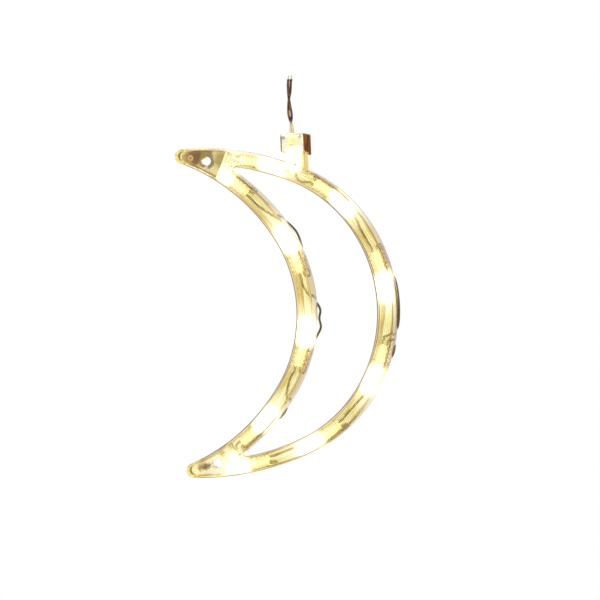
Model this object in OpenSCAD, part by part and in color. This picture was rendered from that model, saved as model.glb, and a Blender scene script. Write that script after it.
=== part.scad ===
// Crescent ornament for a lamp curtain: a clear moulded crescent with ten small lamps, hung on a twisted lead.
// It is laid out in the crescent's own frame: X to the right, Z up, front at low Y, with the centre of the outer
// channel's middle arc at X = 0 and Z = 0.
// The finished part is then moved so that its origin is the top end of the lead, where it is held.

/* [Outer channel] */
// Centreline radius of the middle arc
outer_r = 76.9; // [72:0.1:82]
// Half angle of the middle arc
outer_turn = 67.4; // [64:0.1:70]
// Centreline radius of the flatter stretches towards the horns
outer_far_r = 156.5; // [145:0.5:170]
// Length of each flatter stretch, to the middle of the horn's round tip
outer_far_l = 64; // [60:0.1:68]

/* [Inner channel] */
// Distance between the two channels' centrelines at the crescent's middle
belly_w = 43.7; // [41:0.1:46]
// Centreline radius of the middle arc; the stretches beyond it are bent to meet the outer channel at the tips
inner_r = 74.1; // [70:0.1:78]
// Half angle of the middle arc
inner_turn = 33.3; // [31:0.1:36]

/* [Moulding] */
// Width of both channels
channel_w = 8.8; // [8.6:0.1:9.6]
// Depth of both channels, front to back
channel_d = 8; // [7.8:0.1:9.6]
// Thickness of the side walls
wall = 1.2; // [1:0.1:1.3]
// Thickness of the front skin
skin = 1.2; // [0.8:0.1:1.4]
// Radius of the rounded horn tips
tip_r = 3.9; // [3.4:0.1:4.1]
// Radius of the rounded corners of the window between the channels
corner_r = 1.8; // [1.2:0.1:2.2]

/* [Horns] */
// Distance along X from the tip's middle to the wall that closes a horn off from the channels
partition_in = 22.7; // [21.7:0.1:23.5]
// Lean of that wall from the vertical
partition_lean = 24; // [18:1:28]
// Thickness of that wall
partition_t = 1.2; // [0.8:0.1:1.4]
// Thickness of the horn's floor, at its back
horn_floor = 1.6; // [1:0.1:3]
// Distance along X from the tip's middle to the hook hole
hole_in = 11.7; // [9.7:0.1:12.5]
// Radius of the hook hole
hole_r = 2.3; // [1.6:0.1:2.5]
// Radius of the narrow end of the hook hole
hole_eye_r = 1.5; // [1:0.1:1.6]
// Distance from the hook hole's centre to its narrow end's centre
hole_eye_reach = 2; // [1.8:0.1:2.2]

/* [Gripping ribs] */
// Ribs along each side wall at one lamp
rib_count = 4; // [2:1:4]
// Distance from rib to rib
rib_pitch = 2.4; // [1.6:0.1:2.6]
// Thickness of a rib
rib_t = 0.7; // [0.4:0.1:1]
// Height of a rib above the front skin
rib_h = 4.4; // [2:0.1:5]

/* [Lamps] */
// Diameter of a lamp's sleeve
sleeve_d = 5; // [4.8:0.1:5.2]
// Length of a lamp's sleeve
sleeve_l = 10; // [9:0.1:10.5]
// Length of the chamfer round the sleeve's back end
sleeve_chamfer = 0.5; // [0.3:0.1:0.6]
// Diameter of a lamp
led_d = 4.2; // [3.8:0.1:4.4]
// How far a lamp stands out of its sleeve
led_reach = 6; // [4:0.1:6.5]
// How deep a lamp sits in its sleeve
led_seat = 2; // [1:0.1:3]
// Diameter of the wires between the lamps
wire_d = 1.2; // [0.8:0.1:1.3]
// Distance of a wire end from the middle of the sleeve's back face
wire_pin = 1.2; // [1:0.05:1.3]
// Distance along the outer channel from a horn's tip to its nearest lamp
outer_lamp_in = 37.69; // [37:0.01:39]
// Distance along the inner channel from a horn's tip to its nearest lamp
inner_lamp_in = 36.44; // [36:0.01:38]

/* [Cap and neck] */
// Distance along X from the neck's middle to the cap's middle
cap_shift = -0.6; // [-0.8:0.1:0.4]
// Width of the cap
cap_w = 12.4; // [12:0.1:15]
// Height of the cap
cap_h = 9.4; // [9:0.1:12]
// Depth of the cap's rear cover
cover_d = 9; // [6:0.1:11]
// How far the cover's lip reaches down behind the neck
lip_h = 1.5; // [0.8:0.1:2]
// Radius of the cap's rounded edges
cap_round = 1.2; // [0.8:0.1:1.5]
// Distance along X from the outer middle arc's end to the neck's middle
neck_shift = 0.65; // [-1:0.05:1]
// Width of the neck
neck_w = 10.8; // [8.8:0.1:11]
// Height of the neck above the outer channel's edge
neck_h = 6.7; // [5:0.1:8]
// Radius of the pegs that locate the cover
peg_r = 0.5; // [0.4:0.05:0.6]
// Length of the pegs
peg_l = 2.2; // [1.5:0.1:2.4]

/* [Lead] */
// Height of the lead's top end above the cap
lead_rise = 30.4; // [30.2:0.1:60]
// Diameter of one core
core_d = 1.3; // [1:0.05:1.35]
// Gap between the two twisted cores
core_gap = 0.1; // [0.05:0.01:0.2]
// Length of the bare wire at the end of each core
bare_l = 2; // [1:0.1:3]
// Diameter of the bare wire
bare_d = 0.8; // [0.4:0.05:1]
// X of the lead from the cap's middle
lead_shift = -1.2; // [-1.5:0.1:0]
// Radius of the strain-relief collar in the cap
collar_r = 2.7; // [2.5:0.1:2.7]
// Height of the strain-relief collar
collar_h = 4.2; // [3:0.1:4.2]

/* [Hidden] */
// Small clearances: between a lamp, its sleeve and its ribs, and round the lead
fit = 0.05;
lead_fit = 0.15;
// One overrun for every cut
over = 1;
// Angle past which no far stretch runs
far_reach = 100;
// Facets of a full circle
$fn = 64;
// A size larger than the whole crescent
reach = 3 * (outer_r + outer_far_l);
half_w = channel_w / 2;
half_d = channel_d / 2;
inner_half = half_w - wall;
front = -half_d;
back = half_d;
sleeve_r = sleeve_d / 2;
led_r = led_d / 2;
wire_r = wire_d / 2;
lamp_y = front + skin + sleeve_r + fit;

function degrees(arc) = arc * 180 / PI;
function unit(v) = v / norm(v);
// A channel's path is [X of its middle centre, middle radius, half angle, far radius]
function far_centre(p) = [p[0] + (p[1] - p[3]) * cos(p[2]), (p[1] - p[3]) * sin(p[2])];
function turn_length(p) = p[1] * p[2] * PI / 180;
// Angle, centre and radius of the path at a distance along it from the middle, upwards positive
function far_part(p, s) = abs(s) > turn_length(p);
function side(s) = s < 0 ? -1 : 1;
function angle_at(p, s) =
    far_part(p, s) ? side(s) * (p[2] + degrees((abs(s) - turn_length(p)) / p[3])) : degrees(s / p[1]);
function centre_at(p, s) = far_part(p, s) ? [far_centre(p)[0], side(s) * far_centre(p)[1]] : [p[0], 0];
function radius_at(p, s) = far_part(p, s) ? p[3] : p[1];
function radial(p, s) = [cos(angle_at(p, s)), sin(angle_at(p, s))];
function tangent(p, s) = [-sin(angle_at(p, s)), cos(angle_at(p, s))];
function on_path(p, s, off) = centre_at(p, s) + (radius_at(p, s) + off) * radial(p, s);
// Where two circles meet, on the side that is to the left of the line from the first centre to the second
function meet(c0, r0, c1, r1) =
    let (d = norm(c1 - c0), u = unit(c1 - c0), a = (d * d + r0 * r0 - r1 * r1) / (2 * d))
    c0 + a * u + sqrt(r0 * r0 - a * a) * [-u[1], u[0]];
// Height of an edge of a path at an X
function edge_z(p, off, x) =
    let (far = x < p[0] + (p[1] + off) * cos(p[2]), c = far ? far_centre(p) : [p[0], 0], r = far ? p[3] : p[1])
    c[1] + sqrt(pow(r + off, 2) - pow(x - c[0], 2));

outer = [0, outer_r, outer_turn, outer_far_r];
tip_in = half_w - tip_r;
tip = on_path(outer, turn_length(outer) + outer_far_l, tip_in);
// Radius of the arc that runs on from the end of the inner middle arc and whose edge touches the tip's circle
inner_x = outer_r - belly_w - inner_r;
inner_way = [cos(inner_turn), sin(inner_turn)];
inner_end = [inner_x, 0] + inner_r * inner_way;
inner_far_r = ((tip - inner_end) * (tip - inner_end) - tip_in * tip_in)
    / (2 * (-tip_in - (tip - inner_end) * inner_way));
inner = [inner_x, inner_r, inner_turn, inner_far_r];
corner = meet(far_centre(inner), inner_far_r + half_w + corner_r, far_centre(outer),
    outer_far_r - half_w - corner_r);
function half_length(p) =
    let (c = far_centre(p))
    turn_length(p) + p[3] * (atan2(tip[1] - c[1], tip[0] - c[0]) - p[2]) * PI / 180;

// Lamps in the order of the wiring: [path, place along it, direction in which the lamp points]
outer_lamp_shares = [0.473, 0.157, -0.157, -0.473];
inner_lamp_shares = [-0.219, 0.219];
outer_horn_lamp = half_length(outer) - outer_lamp_in;
inner_horn_lamp = half_length(inner) - inner_lamp_in;
lamps = concat(
    [for (share = outer_lamp_shares) [outer, share * half_length(outer), -1]],
    [[outer, -outer_horn_lamp, -1]],
    [[inner, -inner_horn_lamp, 1]],
    [for (share = inner_lamp_shares) [inner, share * half_length(inner), 1]],
    [[inner, inner_horn_lamp, 1]],
    [[outer, outer_horn_lamp, -1]]);
lamp_count = len(lamps);
function forward(lamp) = lamp[2] * tangent(lamp[0], lamp[1]);
// A point in a lamp's own frame: along its axis, sideways away from the path's centre, and its Y
function lamp_point(lamp, along, off, y) =
    let (q = on_path(lamp[0], lamp[1], off) + along * forward(lamp))
    [q[0], y, q[1]];

// Horns, cap and neck
partition_x = tip[0] + partition_in;
hole_x = tip[0] + hole_in;
neck_x = outer_r * cos(outer_turn) + neck_shift;
cap_x = neck_x + cap_shift;
neck_foot = edge_z(outer, half_w, neck_x);
cap_foot = neck_foot + neck_h;
cap_top = cap_foot + cap_h;
cap_mid = cap_foot + cap_h / 2;
lead_x = cap_x + lead_shift;
twist_r = (core_d + core_gap) / 2;
lead_hole_r = twist_r + core_d / 2 + lead_fit;
collar_top = cap_top - wall - fit;
collar_foot = collar_top - collar_h;
collar_flange = collar_h / 5;
peg_x = cap_w / 2 - wall - peg_r;
peg_z = cap_foot + wall + peg_r;
boss_r = peg_r + wall / 2;
hole_z = (edge_z(outer, half_w, hole_x) + edge_z(inner, -half_w, hole_x)) / 2;

lead_top = cap_top + lead_rise;
core_top = lead_top - bare_l;
// The lead's route, chosen by hand: [share of its height above the cap, sideways in core diameters,
// turn of the pair about its axis in degrees, spread of the pair as a share of its usual one]
lead_share = [[0, 0, 200, 1], [0.19, -0.25, 110, 1.05], [0.34, -0.5, 20, 1.16], [0.46, -0.7, -28, 1.1],
    [0.6, -0.75, -70, 1], [0.72, -0.5, -120, 1], [0.86, -0.35, -160, 1.05], [1, 0, -175, 1.1]];
rings_a_step = 3;
lead_ring_share = 1 / 60;
// Distance of each tail from the lead's axis, sideways and to the front
tail_x = wire_d;
tail_y = 0.75 * wire_d;

// Wire routes, chosen by hand. Each point is [share of the way to the next lamp's sleeve,
// sideways share of the channel's half width, share of its half depth, from front -1 to back 1].
plain_share = [[0, 0.45, 0.74], [0.14, 0.45, 0.74], [0.27, 0.35, 0.5], [0.45, 0.2, -0.1],
    [0.65, -0.15, -0.25], [0.82, -0.28, -0.1]];
low_share = [[0, 0.45, 0.74], [0.14, 0.45, 0.74], [0.28, 0.3, 0.68], [0.4, -0.1, 0.2],
    [0.55, -0.35, -0.2], [0.7, -0.35, -0.3], [0.83, -0.28, -0.1]];
long_bow_share = [[0, 0.45, 0.76], [0.12, 0.5, 1.1], [0.19, 0.78, 1.27], [0.27, 0.97, 1.32],
    [0.4, 1.01, 1.32], [0.55, 1.02, 1.32], [0.7, 1, 1.32], [0.79, 0.9, 1.32], [0.84, 0.62, 1.26],
    [0.865, 0.3, 1], [0.885, 0, 0.5], [0.905, -0.25, 0.05]];
// In lamp shares: [share of a sleeve's length ahead of the lamp, sideways and depth as above]
outside_bow_share = [[-0.84, 0.36, 0.95], [-0.78, 0.5, 1.22], [-0.64, 0.76, 1.32], [-0.4, 0.92, 1.32],
    [-0.1, 0.92, 1.34], [0.13, 0.78, 1.34], [0.32, 0.48, 1.16], [0.65, 0.38, 0.78], [1.3, 0.25, 0.5]];
after_bow_share = [[0.5, 0, -0.1], [0.65, -0.15, -0.25], [0.82, -0.28, -0.1]];
small_bow_share = [[0, 0.45, 0.76], [0.12, 0.45, 0.85], [0.23, 0.5, 1.1], [0.34, 0.84, 1.29],
    [0.43, 0.98, 1.32], [0.52, 0.8, 1.27], [0.58, 0.45, 1.08], [0.65, 0.1, 0.5], [0.82, -0.25, 0]];
double_bow_share = [[0, 0.45, 0.76], [0.12, 0.5, 1.08], [0.22, 0.8, 1.28], [0.36, 1.36, 1.4],
    [0.45, 1.08, 1.34], [0.55, 1.24, 1.4], [0.63, 0.85, 1.28], [0.68, 0.45, 1.08], [0.74, 0.1, 0.5], [0.85, -0.25, 0]];
high_bow_share = [[0, 0.45, 0.78], [0.06, 0.48, 1.12], [0.14, 0.8, 1.3], [0.3, 1.15, 1.4], [0.42, 1.02, 1.34],
    [0.49, 0.8, 1.28], [0.54, 0.45, 1.08], [0.6, 0.2, 0.5], [0.72, -0.1, 0], [0.85, -0.28, -0.1]];
wire_shares = [plain_share, long_bow_share, [], low_share, [], small_bow_share, double_bow_share,
    high_bow_share];
// Turn of a wire behind its lamp: [share of the sleeve's radius backwards, wire pitches towards the back]
turn_shares = [[0.5, 0], [1, 0.35], [1.25, 1.1], [0.9, 1.9], [0.2, 2.2]];
wide_turn_shares = [[0.5, 0], [1, 0.15], [1.35, 0.8], [1.45, 1.8]];
// Distance from the next sleeve at which a wire runs straight into it, in sleeve radii
straight_shares = [1.4, 0.7, 0];
// In the horns: [share of a sleeve's length ahead of a lamp, sideways and depth as above]
bottom_out_share = [[0, 0.36, 0.78], [0.5, 0.09, 0.8], [0.9, -0.3, 0.74], [1.13, -0.9, 0.55]];
bottom_in_share = [[-1.13, 0.36, 0.3], [-0.96, -0.07, 0.02]];
top_out_share = [[0, 0.45, 0.78], [0.5, 0.5, 0.78], [0.9, 0.34, 0.74]];
top_in_share = [[-1.18, -1.32, 0.55], [-1.164, -0.57, 0.25], [-1.02, -0.05, 0]];
// Tails in the neck: [share of the tail's distance from the lead's axis, of the half depth, of the neck's height
// above its foot]
tail_share = [[1, -0.33, 1.2], [1, -0.3, 0.8], [1, -0.05, 0.35]];
tail_a_share = [[1.05, 0.05, -0.1], [1.1, 0.05, -0.5], [1.5, 0.02, -0.87], [2.95, -0.02, -1.18],
    [4.6, -0.1, -1.34]];
tail_b_share = [[1.15, 0.05, -0.1], [2.1, 0.05, -0.42]];
tail_over_share = [[0, 0.45, 0.78], [0.5, 0.4, 0.78], [0.95, 0.2, 0.7], [1.4, 0, 0.3]];
// Mean distance between rings of a wire's tube, in wire diameters
ring_share = 2;

// Drawing helpers

// A flat drawing in X and Z, given depth from one Y to another
module slab(y0, y1) {
    translate([0, y1, 0])
        rotate([90, 0, 0])
            linear_extrude(y1 - y0)
                children();
}

module wedge(c, r, a0, a1) {
    steps = 4;
    polygon(concat([c], [for (i = [0:steps]) let (a = a0 + (a1 - a0) * i / steps) c + r * [cos(a), sin(a)]]));
}

// Everything on the concave side of a path, out to an offset from its centreline
module inside(p, off) {
    c = far_centre(p);
    translate([p[0], 0]) circle(p[1] + off, $fn = 128);
    for (m = [0, 1]) mirror([0, m])
        intersection() {
            translate(c) circle(p[3] + off, $fn = 128);
            wedge(c, 2 * p[3], p[2], far_reach);
        }
}

// What is right of the line across a horn's tip, and the tip's own circle
module tip_limits(grow) {
    u = unit(tip - far_centre(outer));
    v = unit(far_centre(inner) - tip);
    foot = tip + v * (tip[1] / -v[1]);
    for (m = [0, 1]) mirror([0, m]) {
        translate(tip) circle(tip_r + grow);
        polygon([tip, tip + reach * u, [reach, reach], [reach, 0], foot]);
    }
}

// The crescent without its window, grown or shrunk
module silhouette(grow) {
    intersection() {
        difference() {
            inside(outer, half_w + grow);
            inside(inner, -half_w - grow);
        }
        tip_limits(grow);
    }
}

// The window between the channels, grown or shrunk, with rounded corners
module window(grow) {
    u = unit(corner - far_centre(outer));
    v = unit(far_centre(inner) - corner);
    blunt = 3 * corner_r + 4 * wall;
    difference() {
        inside(outer, -half_w + grow);
        inside(inner, half_w - grow);
        for (m = [0, 1]) mirror([0, m])
            difference() {
                polygon([corner, corner + blunt * u, corner + blunt * [-2, 1], corner + blunt * [-2, -1],
                    corner + blunt * v]);
                translate(corner) circle(corner_r + grow);
            }
    }
}

// Everything on the tip's side of the wall that closes a horn off, moved along X
module tip_side(shift) {
    mid = (edge_z(outer, 0, partition_x) + edge_z(inner, 0, partition_x)) / 2;
    for (m = [0, 1]) mirror([0, m])
        translate([partition_x + shift, mid])
            rotate(-partition_lean)
                translate([-reach, -mid / 2]) square([reach, mid]);
}

module rounded_box(w, h, r) {
    translate([-w / 2 + r, -h / 2]) square([w - 2 * r, h]);
    translate([-w / 2, -h / 2 + r]) square([w, h - 2 * r]);
    for (x = [-1, 1], y = [-1, 1]) translate([x * (w / 2 - r), y * (h / 2 - r)]) circle(r);
}

module place_on_path(p, s, off) {
    q = on_path(p, s, off);
    translate([q[0], 0, q[1]]) rotate([0, -angle_at(p, s), 0]) children();
}

module hang() {
    translate([-lead_x, 0, -lead_top]) children();
}

// Smooth curve through points, straight at its ends, and a tube along it

function curve_at(a, b, c, d, t) =
    0.5 * (2 * b + (c - a) * t + (2 * a - 5 * b + 4 * c - d) * t * t + (3 * b - a - 3 * c + d) * t * t * t);
function smooth(pts) =
    let (n = len(pts), all = concat([2 * pts[0] - pts[1]], pts, [2 * pts[n - 1] - pts[n - 2]]))
    concat([for (i = [0:n - 2], steps = max(2, ceil(norm(pts[i + 1] - pts[i]) / (ring_share * wire_d))),
        k = [0:steps - 1]) curve_at(all[i], all[i + 1], all[i + 2], all[i + 3], k / steps)], [pts[n - 1]]);
function squared(v, t) = unit(v - (v * t) * t);
function headings(pts, first, last) =
    let (n = len(pts))
    [for (i = [0:n - 1]) i == 0 ? first : i == n - 1 ? last : unit(pts[i + 1] - pts[i - 1])];
function carried(dirs, i, v) =
    let (next = squared(v, dirs[i]))
    i == len(dirs) - 1 ? [next] : concat([next], carried(dirs, i + 1, next));
function ring(c, t, v, r, sides) =
    let (w = cross(t, v))
    [for (k = [0:sides - 1]) c + r * (cos(360 * k / sides) * v + sin(360 * k / sides) * w)];

module skin_over(rings) {
    n = len(rings);
    sides = len(rings[0]);
    polyhedron(
        points = [for (one = rings, q = one) q],
        faces = concat(
            [[for (k = [0:sides - 1]) k]],
            [for (i = [0:n - 2], k = [0:sides - 1], half = [0, 1])
                let (a = i * sides + k, b = i * sides + (k + 1) % sides)
                half == 0 ? [a, a + sides, b] : [b, a + sides, b + sides]],
            [[for (k = [sides - 1:-1:0]) (n - 1) * sides + k]]),
        convexity = 8);
}

// A round tube along a smooth curve through points, its ends square to the first and the last stretch
module tube(points_on_way, r, sides) {
    n = len(points_on_way);
    pts = smooth(points_on_way);
    dirs = headings(pts, unit(points_on_way[1] - points_on_way[0]),
        unit(points_on_way[n - 1] - points_on_way[n - 2]));
    frames = carried(dirs, 0, squared([0.3, 1, 0.3], dirs[0]));
    skin_over([for (i = [0:len(pts) - 1]) ring(pts[i], dirs[i], frames[i], r, sides)]);
}

// Sub-parts

module horn_hole() {
    for (m = [0, 1]) mirror([0, 0, m])
        translate([hole_x, back + over, hole_z])
            rotate([90, 0, 0]) {
                cylinder(r = hole_r, h = channel_d + 2 * over);
                translate([-hole_eye_reach, 0, 0])
                    cylinder(r = hole_eye_r, h = channel_d + 2 * over);
            }
}

module ribs() {
    rib_reach = inner_half - sleeve_r - fit;
    for (lamp = lamps, n = [0:rib_count - 1], hand = [-1, 1])
        place_on_path(lamp[0], lamp[1], 0)
            translate([hand * (inner_half - rib_reach / 2 + wall / 4), front + skin / 2 + rib_h / 2,
                (n - (rib_count - 1) / 2) * rib_pitch])
                cube([rib_reach + wall / 2, rib_h + skin, rib_t], center = true);
}

module at_pegs() {
    for (x = [-1, 1])
        translate([cap_x + x * peg_x, 0, peg_z]) rotate([90, 0, 0]) children();
}

module crescent_shell() {
    color([0.99, 0.95, 0.72, 0.5]) hang() difference() {
        union() {
            difference() {
                union() {
                    slab(front, back) {
                        difference() {
                            silhouette(0);
                            window(0);
                        }
                    }
                    slab(front, back)
                        translate([neck_x - neck_w / 2, neck_foot - half_w])
                            square([neck_w, neck_h + half_w]);
                    slab(front, 0)
                        translate([cap_x, cap_mid]) rounded_box(cap_w, cap_h, cap_round);
                }
                slab(front + skin, back + over)
                    difference() {
                        silhouette(-wall);
                        window(wall);
                        tip_side(partition_t / 2);
                    }
                slab(front - over, back - horn_floor)
                    intersection() {
                        silhouette(-wall);
                        tip_side(-partition_t / 2);
                    }
                slab(front + skin, back + over)
                    translate([neck_x - neck_w / 2 + wall, neck_foot - half_w])
                        square([neck_w - 2 * wall, neck_h + half_w]);
                slab(front + skin, over)
                    translate([cap_x, cap_mid]) rounded_box(cap_w - 2 * wall, cap_h - 2 * wall, cap_round / 2);
                slab(front + skin, over)
                    translate([neck_x - neck_w / 2 + wall, cap_foot - over])
                        square([neck_w - 2 * wall, 2 * wall + over]);
            }
            ribs();
            at_pegs() cylinder(r = boss_r, h = half_d - skin / 2);
        }
        horn_hole();
        at_pegs() translate([0, 0, -over]) cylinder(r = peg_r + fit, h = peg_l + fit + over);
        translate([lead_x, 0, cap_mid]) cylinder(r = lead_hole_r, h = cap_h);
    }
}

// The cover's outer form, from a foot up to the cap's top
module cover_block(foot) {
    h = cap_top - foot;
    mid = foot + h / 2;
    intersection() {
        slab(0, cover_d)
            translate([cap_x, mid]) rounded_box(cap_w, h, cap_round);
        translate([cap_x, 0, foot])
            linear_extrude(h)
                rounded_box(cap_w, 2 * cover_d, cap_round);
        translate([cap_x - cap_w / 2, 0, mid])
            rotate([90, 0, 90])
                linear_extrude(cap_w)
                    rounded_box(2 * cover_d, h, cap_round);
    }
}

module cap_cover() {
    color([0.5, 0.3, 0.1, 0.85]) hang() {
        difference() {
            union() {
                cover_block(cap_foot);
                intersection() {
                    cover_block(cap_foot - lip_h);
                    slab(back + fit, cover_d + over)
                        translate([cap_x, cap_mid]) square([2 * cap_w, 2 * cap_h], center = true);
                }
            }
            slab(-over, cover_d - wall)
                translate([cap_x, cap_mid]) rounded_box(cap_w - 2 * wall, cap_h - 2 * wall, cap_round / 2);
            translate([lead_x, 0, cap_mid]) cylinder(r = lead_hole_r, h = cap_h);
        }
        translate([0, cover_d - wall / 2, 0]) at_pegs() {
            cylinder(r = peg_r, h = cover_d - wall / 2 + peg_l);
            cylinder(r = boss_r, h = cover_d - wall / 2);
        }
    }
}

module strain_collar() {
    color([0.42, 0.28, 0.14]) hang()
        translate([lead_x, 0, collar_foot]) {
            cylinder(r = collar_r - core_d / 3, h = collar_h);
            translate([0, 0, collar_h - collar_flange]) cylinder(r = collar_r, h = collar_flange);
            cylinder(r = collar_r, h = collar_flange);
        }
}

module at_lamp(i) {
    q = lamp_point(lamps[i], 0, 0, lamp_y);
    f = forward(lamps[i]);
    hang() translate(q) rotate([0, -atan2(f[1], f[0]), 0]) rotate([0, 90, 0]) children();
}

module led(i) {
    body_l = led_seat + led_reach - led_r;
    color([1, 1, 0.85]) at_lamp(i)
        translate([0, 0, sleeve_l / 2 - led_seat]) {
            cylinder(r = led_r, h = body_l);
            translate([0, 0, body_l]) sphere(led_r);
        }
}

module lamp_sleeve(i) {
    color([0.97, 0.93, 0.75, 0.6]) at_lamp(i)
        difference() {
            union() {
                translate([0, 0, sleeve_chamfer - sleeve_l / 2])
                    cylinder(r = sleeve_r, h = sleeve_l - sleeve_chamfer);
                translate([0, 0, -sleeve_l / 2])
                    cylinder(r1 = sleeve_r - sleeve_chamfer, r2 = sleeve_r, h = sleeve_chamfer);
            }
            translate([0, 0, sleeve_l / 2 - led_seat]) cylinder(r = led_r + fit, h = led_seat + over);
        }
}

// Wires between the lamps

function lane(p, s, off_share, y_share) =
    let (q = on_path(p, s, off_share * half_w))
    [q[0], y_share * half_d, q[1]];
function by_lamp(lamp, shares) =
    [for (q = shares) lamp_point(lamp, q[0] * sleeve_l, q[1] * half_w, q[2] * half_d)];
// Out of a sleeve's back face and round towards the back of the channel
function wire_out(lamp, turns = turn_shares) = concat(
    [lamp_point(lamp, -sleeve_l / 2, wire_pin, lamp_y)],
    [for (t = turns) lamp_point(lamp, -sleeve_l / 2 - t[0] * sleeve_r, wire_pin * (1 + t[1] / 3),
        lamp_y + t[1] * wire_d * 1.15)]);
// Straight into the next sleeve's back face
function wire_in(lamp) =
    [for (t = straight_shares) lamp_point(lamp, -sleeve_l / 2 - t * sleeve_r, -wire_pin, lamp_y)];
function lanes(a, b, shares) =
    let (way = abs(b[1] - a[1]) - sleeve_l / 2)
    [for (q = shares) lane(a[0], a[1] + a[2] * q[0] * way, q[1], q[2])];
function wire_along(a, b, shares) = concat(wire_out(a), lanes(a, b, shares), wire_in(b));
function wire_outside(a, b) =
    concat(wire_out(a, wide_turn_shares), by_lamp(a, outside_bow_share), lanes(a, b, after_bow_share),
        wire_in(b));
function wire_round(a, b, out, in) = concat(wire_out(a), by_lamp(a, out), by_lamp(b, in), wire_in(b));
function wire_between(i) =
    i == 2 ? wire_outside(lamps[2], lamps[3])
    : i == 4 ? wire_round(lamps[4], lamps[5], bottom_out_share, bottom_in_share)
    : i == 8 ? wire_round(lamps[8], lamps[9], top_out_share, top_in_share)
    : wire_along(lamps[i], lamps[i + 1], wire_shares[i]);
// Tails from the strain-relief collar down through the neck: side 1 is the right one
function tail_down(hand, shares) = concat(
    [[lead_x + hand * tail_x, -tail_y, collar_foot]],
    [for (q = concat([[1, -tail_y / half_d, (collar_foot - wire_d - neck_foot) / neck_h]], tail_share, shares))
        [lead_x + hand * q[0] * tail_x, q[1] * half_d, neck_foot + q[2] * neck_h]]);
function backwards(v) = [for (i = [len(v) - 1:-1:0]) v[i]];

module loop_wire(i) {
    last = lamp_count - 1;
    color([0.36, 0.22, 0.1]) hang()
        if (i == 0)
            tube(concat(tail_down(1, tail_a_share), wire_in(lamps[0])), wire_r, 8);
        else if (i == lamp_count)
            tube(concat(wire_out(lamps[last]), by_lamp(lamps[last], tail_over_share),
                backwards(tail_down(-1, tail_b_share))), wire_r, 8);
        else
            tube(wire_between(i - 1), wire_r, 8);
}

// The two twisted cores of the lead, and the bare wire at their top ends
core_share = core_top < lead_top ? (core_top - cap_top) / lead_rise : 1;
foot_row = [(collar_top - cap_top) / lead_rise, 0, lead_share[0][2], lead_share[0][3]];
lead_rows = concat([foot_row], smooth_rows(lead_share, rings_a_step));
function smooth_rows(rows, steps) =
    let (n = len(rows), all = concat([2 * rows[0] - rows[1]], rows, [2 * rows[n - 1] - rows[n - 2]]))
    concat([for (i = [0:n - 2], k = [0:steps - 1]) curve_at(all[i], all[i + 1], all[i + 2], all[i + 3], k / steps)],
        [rows[n - 1]]);
function row_point(row, hand) =
    lead_point(row, hand * row[3] * twist_r);
function lead_point(row, away) =
    [lead_x + row[1] * core_d + away * cos(row[2]), away * sin(row[2]), cap_top + row[0] * lead_rise];

module lead_core(hand) {
    last = lead_rows[len(lead_rows) - 1];
    rows = [for (row = lead_rows) if (row[0] < core_share - lead_ring_share) row];
    tip_row = [core_share, last[1], last[2], last[3]];
    color([0.45, 0.32, 0.2]) hang()
        skin_over([for (row = concat(rows, [tip_row]))
            ring(row_point(row, hand), [0, 0, 1], [1, 0, 0], core_d / 2, 8)]);
}

module bare_tip(hand) {
    last = lead_rows[len(lead_rows) - 1];
    color([0.75, 0.7, 0.65]) hang()
        translate(row_point([core_share, last[1], last[2], last[3]], hand))
            cylinder(r = bare_d / 2, h = bare_l);
}

crescent_shell();
cap_cover();
strain_collar();
for (i = [0:lamp_count - 1]) {
    led(i);
    lamp_sleeve(i);
}
for (i = [0:lamp_count]) {
    loop_wire(i);
}
lead_core(1);  // lead_core_a
lead_core(-1);  // lead_core_b
bare_tip(1);  // bare_tip_a
bare_tip(-1);  // bare_tip_b
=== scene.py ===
# %% [markdown]
# # A lit crescent ornament
# The object is a clear plastic crescent with ten small lamps in its two curved channels, hung on a twisted
# lead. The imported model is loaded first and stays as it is. Every new piece is built around it, in metres.

# %% The frame
import math
from types import SimpleNamespace

import bpy
from mathutils import Matrix, Vector


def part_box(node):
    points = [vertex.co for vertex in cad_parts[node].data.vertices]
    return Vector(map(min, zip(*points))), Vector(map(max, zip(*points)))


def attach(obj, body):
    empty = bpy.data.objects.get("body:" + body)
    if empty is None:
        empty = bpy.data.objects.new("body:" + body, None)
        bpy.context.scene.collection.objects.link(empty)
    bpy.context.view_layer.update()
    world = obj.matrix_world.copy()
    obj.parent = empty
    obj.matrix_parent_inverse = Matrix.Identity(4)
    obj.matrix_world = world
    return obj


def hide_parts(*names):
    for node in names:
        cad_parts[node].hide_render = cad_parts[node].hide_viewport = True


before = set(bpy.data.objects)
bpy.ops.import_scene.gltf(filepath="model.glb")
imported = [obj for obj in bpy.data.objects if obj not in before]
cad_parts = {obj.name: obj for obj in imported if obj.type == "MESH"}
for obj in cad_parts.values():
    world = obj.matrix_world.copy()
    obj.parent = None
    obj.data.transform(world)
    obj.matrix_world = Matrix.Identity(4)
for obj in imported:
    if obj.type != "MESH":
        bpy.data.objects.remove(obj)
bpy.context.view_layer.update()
MM = 0.001

# %% [markdown]
# ## The camera
# The photograph was taken from a little to the right of the ornament's front, nearly level, and the camera
# was tilted slightly, so the crescent leans left in the picture. A long lens keeps its sides almost
# parallel.

# %% Camera
CAMERA_TURN = math.radians(20)
CAMERA_RISE = math.radians(0.66)
CAMERA_ROLL = math.radians(-2.09)
CAMERA_DISTANCE = 0.85
CAMERA_LENS = 98.08
CAMERA_AIM = Vector((0.0011, 0, -0.116778))

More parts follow.
